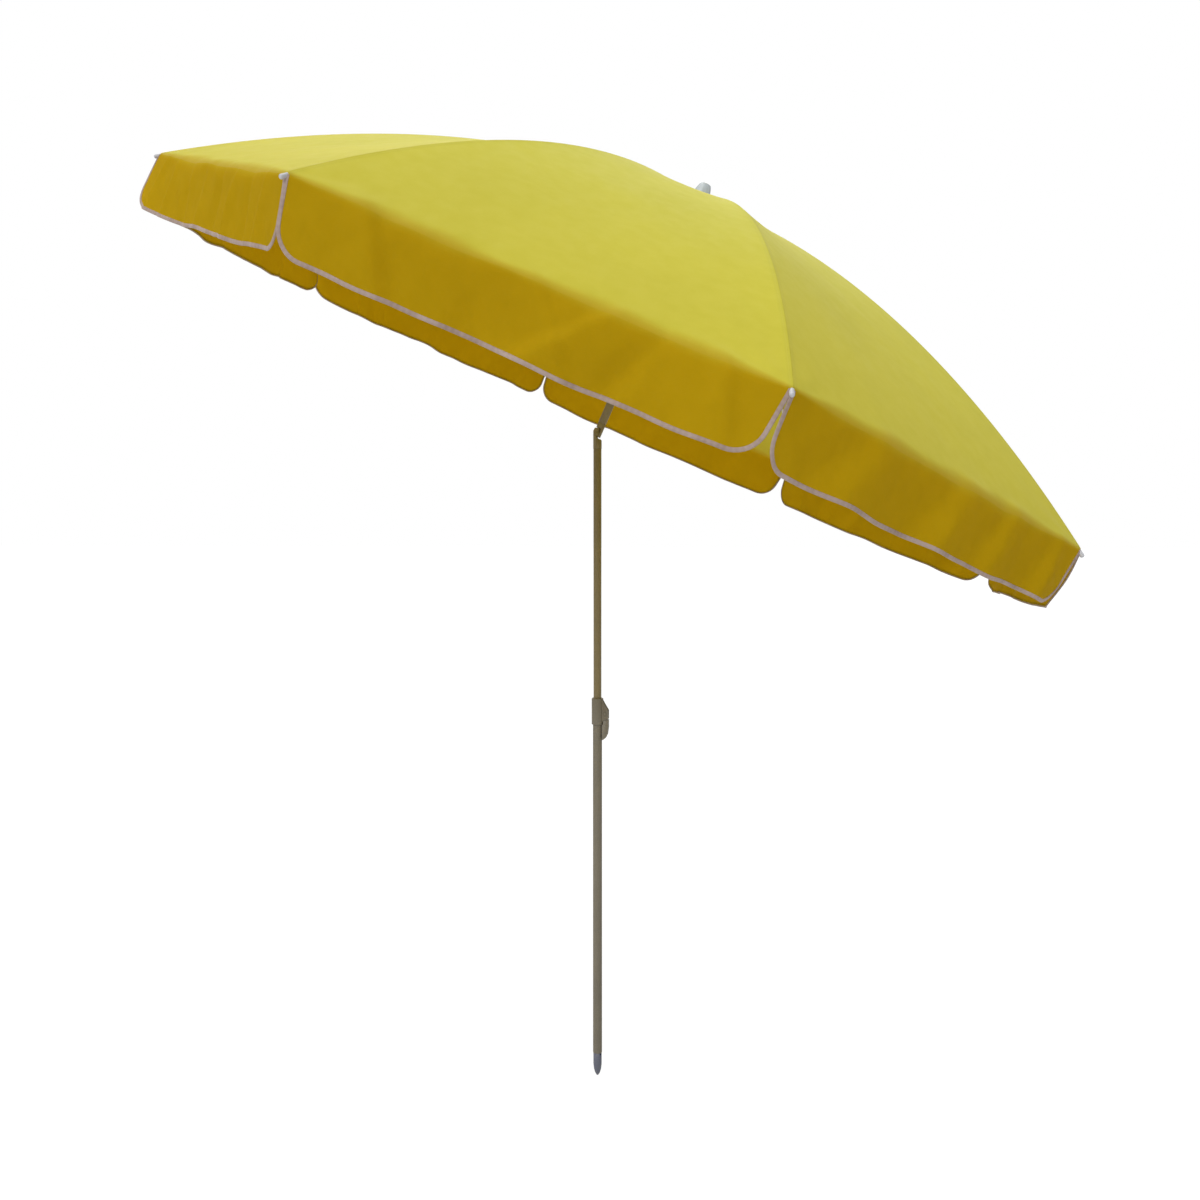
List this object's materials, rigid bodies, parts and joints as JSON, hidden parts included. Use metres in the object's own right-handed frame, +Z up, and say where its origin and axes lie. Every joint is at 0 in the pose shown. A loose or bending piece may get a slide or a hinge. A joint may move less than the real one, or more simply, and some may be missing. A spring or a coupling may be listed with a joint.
{
  "type": "beach umbrella",
  "caption": "Tilting beach umbrella: gored cloth cover with a slit valance on folding ribs, push-button tilt joint, and a two-part pole with a lever clamp and a ground spike.",
  "frame": {"origin": "point of the ground spike, on the axis of the pole", "axes": "+Z up along the pole; the head leans towards +X, about a tilt pin along Y"},
  "size_m": [1.87, 2.039, 2.1827],
  "materials": {
    "taupe_paint": "satin taupe paint on steel tube",
    "khaki_paint": "satin khaki paint on steel tube",
    "spike": "grey-blue satin",
    "steel": "zinc-plated, satin",
    "white_plastic": "moulded white plastic",
    "clear_plastic": "milky translucent moulded plastic",
    "black_plastic": "moulded black plastic",
    "rib_paint": "white painted steel",
    "cover_cloth": "yellow plain-weave polyester, slightly translucent",
    "valance_cloth": "yellow plain-weave polyester with a pale piped edge"
  },
  "bodies": {
    "lower_pole": {"lower_pole": "taupe_paint", "ground_spike": "spike", "clamp_collar": "taupe_paint", "clamp_pin": "taupe_paint"},
    "clamp_lever": {"clamp_lever": "taupe_paint"},
    "upper_pole": {"upper_pole": "khaki_paint", "guide_bush": "black_plastic", "tilt_fork": "khaki_paint", "tilt_pin": "khaki_paint", "button_spring": "steel"},
    "tilt_button": {"tilt_button": "steel"},
    "head": {"tilt_tongue": "khaki_paint", "head_pole": "khaki_paint", "crown_hub": "white_plastic", "crown_wire": "steel", "canopy_washer": "white_plastic", "finial": "clear_plastic"},
    "runner_latch": {"runner_latch": "steel"},
    "runner": {"runner": "white_plastic", "runner_wire": "steel"},
    "rib_1": {"rib_1": "rib_paint", "rib_tip_1": "white_plastic"},
    "stretcher_1": {"stretcher_1": "rib_paint"},
    "rib_2": {"rib_2": "rib_paint", "rib_tip_2": "white_plastic"},
    "stretcher_2": {"stretcher_2": "rib_paint"},
    "rib_3": {"rib_3": "rib_paint", "rib_tip_3": "white_plastic"},
    "stretcher_3": {"stretcher_3": "rib_paint"},
    "rib_4": {"rib_4": "rib_paint", "rib_tip_4": "white_plastic"},
    "stretcher_4": {"stretcher_4": "rib_paint"},
    "rib_5": {"rib_5": "rib_paint", "rib_tip_5": "white_plastic"},
    "stretcher_5": {"stretcher_5": "rib_paint"},
    "rib_6": {"rib_6": "rib_paint", "rib_tip_6": "white_plastic"},
    "stretcher_6": {"stretcher_6": "rib_paint"},
    "rib_7": {"rib_7": "rib_paint", "rib_tip_7": "white_plastic"},
    "stretcher_7": {"stretcher_7": "rib_paint"},
    "rib_8": {"rib_8": "rib_paint", "rib_tip_8": "white_plastic"},
    "stretcher_8": {"stretcher_8": "rib_paint"},
    "gore_1": {"gore_1": "cover_cloth"},
    "valance_1": {"valance_1": "valance_cloth"},
    "gore_2": {"gore_2": "cover_cloth"},
    "valance_2": {"valance_2": "valance_cloth"},
    "gore_3": {"gore_3": "cover_cloth"},
    "valance_3": {"valance_3": "valance_cloth"},
    "gore_4": {"gore_4": "cover_cloth"},
    "valance_4": {"valance_4": "valance_cloth"},
    "gore_5": {"gore_5": "cover_cloth"},
    "valance_5": {"valance_5": "valance_cloth"},
    "gore_6": {"gore_6": "cover_cloth"},
    "valance_6": {"valance_6": "valance_cloth"},
    "gore_7": {"gore_7": "cover_cloth"},
    "valance_7": {"valance_7": "valance_cloth"},
    "gore_8": {"gore_8": "cover_cloth"},
    "valance_8": {"valance_8": "valance_cloth"}
  },
  "joints": [
    {"name": "pole_slide", "type": "slide", "parent": "lower_pole", "child": "upper_pole", "axis": [0, 0, -1], "range_m": [-0.15, 0.45]},
    {"name": "clamp_lever_swing", "type": "hinge", "parent": "lower_pole", "child": "clamp_lever", "pos_m": [0.0195, 0, 0.889], "axis": [0, -1, 0], "range_deg": [0, 110]},
    {"name": "tilt_button_press", "type": "slide", "parent": "upper_pole", "child": "tilt_button", "axis": [0, -1, 0], "range_m": [0, 0.002], "stiffness_N_per_m": 200, "deforming": ["button_spring"]},
    {"name": "head_tilt", "type": "hinge", "parent": "upper_pole", "child": "head", "pos_m": [0, 0, 1.552], "axis": [0, -1, 0], "range_deg": [-16, 24]},
    {"name": "latch_press", "type": "slide", "parent": "head", "child": "runner_latch", "axis": [0.9135, 0, -0.4067], "range_m": [0, 0.0045], "stiffness_N_per_m": 200, "deforming": ["runner_latch"]},
    {"name": "rib_1_fold", "type": "hinge", "parent": "head", "child": "rib_1", "pos_m": [0.25122, 0.00842, 2.06628], "axis": [-0.3496, 0.9239, 0.1557], "range_deg": [0, 67], "deforming": ["runner_latch", "gore_1", "gore_2", "gore_3", "gore_4", "gore_5", "gore_6", "gore_7", "gore_8", "valance_1", "valance_2", "valance_3", "valance_4", "valance_5", "valance_6", "valance_7", "valance_8"]},
    {"name": "stretcher_1_swing", "type": "hinge", "parent": "rib_1", "child": "stretcher_1", "pos_m": [0.46146, 0.11174, 1.92519], "axis": [-0.3496, 0.9239, 0.1557], "range_deg": [-129.81, 0]},
    {"name": "rib_2_fold", "type": "hinge", "parent": "head", "child": "rib_2", "pos_m": [0.24035, 0.02032, 2.07112], "axis": [-0.844, 0.3827, 0.3758], "range_deg": [0, 67]},
    {"name": "stretcher_2_swing", "type": "hinge", "parent": "rib_2", "child": "stretcher_2", "pos_m": [0.31709, 0.26977, 1.98946], "axis": [-0.844, 0.3827, 0.3758], "range_deg": [-129.81, 0]},
    {"name": "rib_3_fold", "type": "hinge", "parent": "head", "child": "rib_3", "pos_m": [0.22496, 0.02032, 2.07797], "axis": [-0.844, -0.3827, 0.3758], "range_deg": [0, 67]},
    {"name": "stretcher_3_swing", "type": "hinge", "parent": "rib_3", "child": "stretcher_3", "pos_m": [0.11292, 0.26977, 2.08036], "axis": [-0.844, -0.3827, 0.3758], "range_deg": [-129.81, 0]},
    {"name": "rib_4_fold", "type": "hinge", "parent": "head", "child": "rib_4", "pos_m": [0.21408, 0.00842, 2.08282], "axis": [-0.3496, -0.9239, 0.1557], "range_deg": [0, 67]},
    {"name": "stretcher_4_swing", "type": "hinge", "parent": "rib_4", "child": "stretcher_4", "pos_m": [-0.03144, 0.11174, 2.14464], "axis": [-0.3496, -0.9239, 0.1557], "range_deg": [-129.81, 0]},
    {"name": "rib_5_fold", "type": "hinge", "parent": "head", "child": "rib_5", "pos_m": [0.21408, -0.00842, 2.08282], "axis": [0.3496, -0.9239, -0.1557], "range_deg": [0, 67]},
    {"name": "stretcher_5_swing", "type": "hinge", "parent": "rib_5", "child": "stretcher_5", "pos_m": [-0.03144, -0.11174, 2.14464], "axis": [0.3496, -0.9239, -0.1557], "range_deg": [-129.81, 0]},
    {"name": "rib_6_fold", "type": "hinge", "parent": "head", "child": "rib_6", "pos_m": [0.22496, -0.02032, 2.07797], "axis": [0.844, -0.3827, -0.3758], "range_deg": [0, 67]},
    {"name": "stretcher_6_swing", "type": "hinge", "parent": "rib_6", "child": "stretcher_6", "pos_m": [0.11292, -0.26977, 2.08036], "axis": [0.844, -0.3827, -0.3758], "range_deg": [-129.81, 0]},
    {"name": "rib_7_fold", "type": "hinge", "parent": "head", "child": "rib_7", "pos_m": [0.24035, -0.02032, 2.07112], "axis": [0.844, 0.3827, -0.3758], "range_deg": [0, 67]},
    {"name": "stretcher_7_swing", "type": "hinge", "parent": "rib_7", "child": "stretcher_7", "pos_m": [0.31709, -0.26977, 1.98946], "axis": [0.844, 0.3827, -0.3758], "range_deg": [-129.81, 0]},
    {"name": "rib_8_fold", "type": "hinge", "parent": "head", "child": "rib_8", "pos_m": [0.25122, -0.00842, 2.06628], "axis": [0.3496, 0.9239, -0.1557], "range_deg": [0, 67]},
    {"name": "stretcher_8_swing", "type": "hinge", "parent": "rib_8", "child": "stretcher_8", "pos_m": [0.46146, -0.11174, 1.92519], "axis": [0.3496, 0.9239, -0.1557], "range_deg": [-129.81, 0]},
    {"name": "runner_slide", "type": "slide", "parent": "head", "child": "runner", "axis": [-0.4067, 0, -0.9135], "range_m": [0, 0.4284]},
    {"name": "gore_1_fold", "type": "hinge", "parent": "head", "child": "gore_1", "pos_m": [0.25122, 0, 2.06628], "axis": [0, 1, 0], "range_deg": [0, 67]},
    {"name": "valance_1_hang", "type": "hinge", "parent": "gore_1", "child": "valance_1", "pos_m": [0.99002, 0, 1.28698], "axis": [0, 1, 0], "range_deg": [-67, 0]},
    {"name": "gore_2_fold", "type": "hinge", "parent": "head", "child": "gore_2", "pos_m": [0.24578, 0.01437, 2.0687], "axis": [-0.646, 0.7071, 0.2876], "range_deg": [0, 67]},
    {"name": "valance_2_hang", "type": "hinge", "parent": "gore_2", "child": "valance_2", "pos_m": [0.71918, 0.71575, 1.40757], "axis": [-0.646, 0.7071, 0.2876], "range_deg": [-67, 0]},
    {"name": "gore_3_fold", "type": "hinge", "parent": "head", "child": "gore_3", "pos_m": [0.23265, 0.02032, 2.07455], "axis": [-0.9135, 0, 0.4067], "range_deg": [0, 67]},
    {"name": "valance_3_hang", "type": "hinge", "parent": "gore_3", "child": "valance_3", "pos_m": [0.06531, 1.01222, 1.69869], "axis": [-0.9135, 0, 0.4067], "range_deg": [-67, 0]},
    {"name": "gore_4_fold", "type": "hinge", "parent": "head", "child": "gore_4", "pos_m": [0.21952, 0.01437, 2.08039], "axis": [-0.646, -0.7071, 0.2876], "range_deg": [0, 67]},
    {"name": "valance_4_hang", "type": "hinge", "parent": "gore_4", "child": "valance_4", "pos_m": [-0.58856, 0.71575, 1.98981], "axis": [-0.646, -0.7071, 0.2876], "range_deg": [-67, 0]},
    {"name": "gore_5_fold", "type": "hinge", "parent": "head", "child": "gore_5", "pos_m": [0.21408, 0, 2.08282], "axis": [0, -1, 0], "range_deg": [0, 67]},
    {"name": "valance_5_hang", "type": "hinge", "parent": "gore_5", "child": "valance_5", "pos_m": [-0.8594, 0, 2.1104], "axis": [0, -1, 0], "range_deg": [-67, 0]},
    {"name": "gore_6_fold", "type": "hinge", "parent": "head", "child": "gore_6", "pos_m": [0.21952, -0.01437, 2.08039], "axis": [0.646, -0.7071, -0.2876], "range_deg": [0, 67]},
    {"name": "valance_6_hang", "type": "hinge", "parent": "gore_6", "child": "valance_6", "pos_m": [-0.58856, -0.71575, 1.98981], "axis": [0.646, -0.7071, -0.2876], "range_deg": [-67, 0]},
    {"name": "gore_7_fold", "type": "hinge", "parent": "head", "child": "gore_7", "pos_m": [0.23265, -0.02032, 2.07455], "axis": [0.9135, 0, -0.4067], "range_deg": [0, 67]},
    {"name": "valance_7_hang", "type": "hinge", "parent": "gore_7", "child": "valance_7", "pos_m": [0.06531, -1.01222, 1.69869], "axis": [0.9135, 0, -0.4067], "range_deg": [-67, 0]},
    {"name": "gore_8_fold", "type": "hinge", "parent": "head", "child": "gore_8", "pos_m": [0.24578, -0.01437, 2.0687], "axis": [0.646, 0.7071, -0.2876], "range_deg": [0, 67]},
    {"name": "valance_8_hang", "type": "hinge", "parent": "gore_8", "child": "valance_8", "pos_m": [0.71918, -0.71575, 1.40757], "axis": [0.646, 0.7071, -0.2876], "range_deg": [-67, 0]}
  ],
  "couplings": [
    {"joint": "stretcher_1_swing", "follows": "rib_1_fold", "ratio": -1.93},
    {"joint": "rib_2_fold", "follows": "rib_1_fold", "ratio": 1},
    {"joint": "stretcher_2_swing", "follows": "rib_1_fold", "ratio": -1.93},
    {"joint": "rib_3_fold", "follows": "rib_1_fold", "ratio": 1},
    {"joint": "stretcher_3_swing", "follows": "rib_1_fold", "ratio": -1.93},
    {"joint": "rib_4_fold", "follows": "rib_1_fold", "ratio": 1},
    {"joint": "stretcher_4_swing", "follows": "rib_1_fold", "ratio": -1.93},
    {"joint": "rib_5_fold", "follows": "rib_1_fold", "ratio": 1},
    {"joint": "stretcher_5_swing", "follows": "rib_1_fold", "ratio": -1.93},
    {"joint": "rib_6_fold", "follows": "rib_1_fold", "ratio": 1},
    {"joint": "stretcher_6_swing", "follows": "rib_1_fold", "ratio": -1.93},
    {"joint": "rib_7_fold", "follows": "rib_1_fold", "ratio": 1},
    {"joint": "stretcher_7_swing", "follows": "rib_1_fold", "ratio": -1.93},
    {"joint": "rib_8_fold", "follows": "rib_1_fold", "ratio": 1},
    {"joint": "stretcher_8_swing", "follows": "rib_1_fold", "ratio": -1.93},
    {"joint": "runner_slide", "follows": "rib_1_fold", "m_per_rad": 0.36548},
    {"joint": "gore_1_fold", "follows": "rib_1_fold", "ratio": 0.94},
    {"joint": "valance_1_hang", "follows": "rib_1_fold", "ratio": -0.94},
    {"joint": "gore_2_fold", "follows": "rib_1_fold", "ratio": 0.94},
    {"joint": "valance_2_hang", "follows": "rib_1_fold", "ratio": -0.94},
    {"joint": "gore_3_fold", "follows": "rib_1_fold", "ratio": 0.94},
    {"joint": "valance_3_hang", "follows": "rib_1_fold", "ratio": -0.94},
    {"joint": "gore_4_fold", "follows": "rib_1_fold", "ratio": 0.94},
    {"joint": "valance_4_hang", "follows": "rib_1_fold", "ratio": -0.94},
    {"joint": "gore_5_fold", "follows": "rib_1_fold", "ratio": 0.94},
    {"joint": "valance_5_hang", "follows": "rib_1_fold", "ratio": -0.94},
    {"joint": "gore_6_fold", "follows": "rib_1_fold", "ratio": 0.94},
    {"joint": "valance_6_hang", "follows": "rib_1_fold", "ratio": -0.94},
    {"joint": "gore_7_fold", "follows": "rib_1_fold", "ratio": 0.94},
    {"joint": "valance_7_hang", "follows": "rib_1_fold", "ratio": -0.94},
    {"joint": "gore_8_fold", "follows": "rib_1_fold", "ratio": 0.94},
    {"joint": "valance_8_hang", "follows": "rib_1_fold", "ratio": -0.94}
  ]
}
